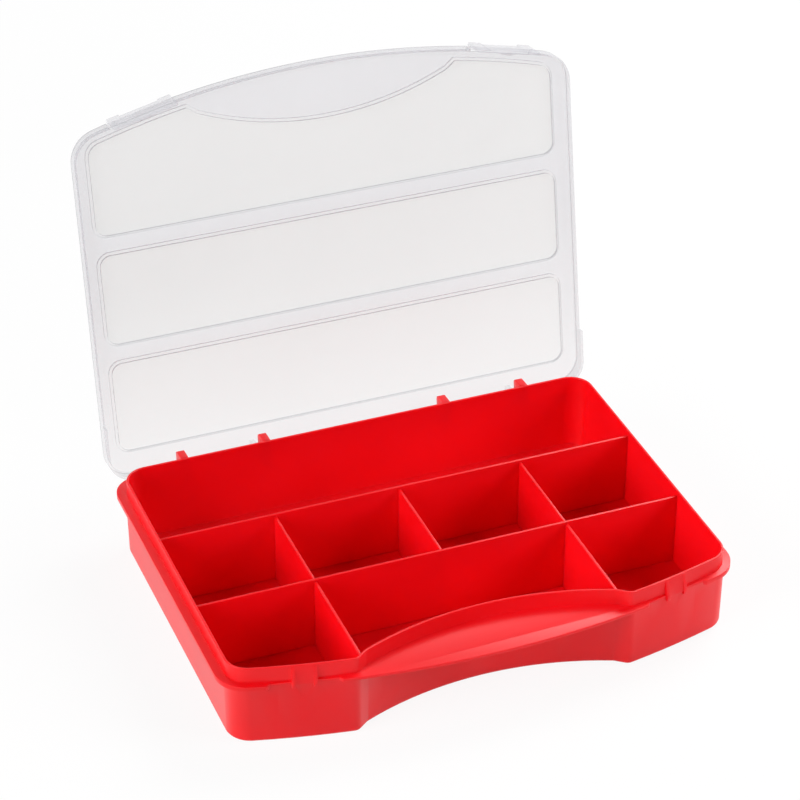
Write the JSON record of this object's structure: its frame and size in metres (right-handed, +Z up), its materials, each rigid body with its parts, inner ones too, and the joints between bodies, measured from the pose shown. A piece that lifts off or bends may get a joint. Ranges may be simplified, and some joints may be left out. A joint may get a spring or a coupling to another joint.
{
  "type": "compartment storage box",
  "caption": "Shallow moulded plastic storage box with fixed dividers, a ledge handle and a clear hinged snap lid, shown open.",
  "frame": {"origin": "middle of the tray's underside, at the height it stands on", "axes": "+X along the box's length, left to right seen from the handle side; +Y from the handle ledge to the hinge; +Z up out of the tray"},
  "size_m": [0.312, 0.2875, 0.2718],
  "materials": {
    "tray_plastic": "smooth moulded red, slightly glossy",
    "lid_plastic": "clear, faintly milky moulded plastic"
  },
  "bodies": {
    "tray_body": {"tray": "tray_plastic", "back_long_divider": "tray_plastic", "front_long_divider": "tray_plastic", "middle_row_left_divider": "tray_plastic", "middle_row_centre_divider": "tray_plastic", "middle_row_right_divider": "tray_plastic", "front_row_left_divider": "tray_plastic", "front_row_right_divider": "tray_plastic", "outer_left_hinge_ear": "tray_plastic", "inner_left_hinge_ear": "tray_plastic", "inner_right_hinge_ear": "tray_plastic", "outer_right_hinge_ear": "tray_plastic"},
    "lid_body": {"lid": "lid_plastic", "outer_left_hinge_lug": "lid_plastic", "inner_left_hinge_lug": "lid_plastic", "inner_right_hinge_lug": "lid_plastic", "outer_right_hinge_lug": "lid_plastic"},
    "left_snap_tab_body": {"left_snap_tab": "lid_plastic"},
    "right_snap_tab_body": {"right_snap_tab": "lid_plastic"}
  },
  "joints": [
    {"name": "lid_hinge", "type": "hinge", "parent": "tray_body", "child": "lid_body", "pos_m": [0, 0.118, 0.0406], "axis": [1, 0, 0], "range_deg": [0, 99.6]},
    {"name": "left_snap_tab_flex", "type": "hinge", "parent": "lid_body", "child": "left_snap_tab_body", "pos_m": [-0.11167, 0.1662, 0.25604], "axis": [-0.9766, -0.0358, -0.2119], "range_deg": [0, 12], "stiffness_Nm_per_rad": 0.05},
    {"name": "right_snap_tab_flex", "type": "hinge", "parent": "lid_body", "child": "right_snap_tab_body", "pos_m": [0.11167, 0.1662, 0.25604], "axis": [-0.9766, 0.0358, 0.2119], "range_deg": [0, 12], "stiffness_Nm_per_rad": 0.05}
  ]
}
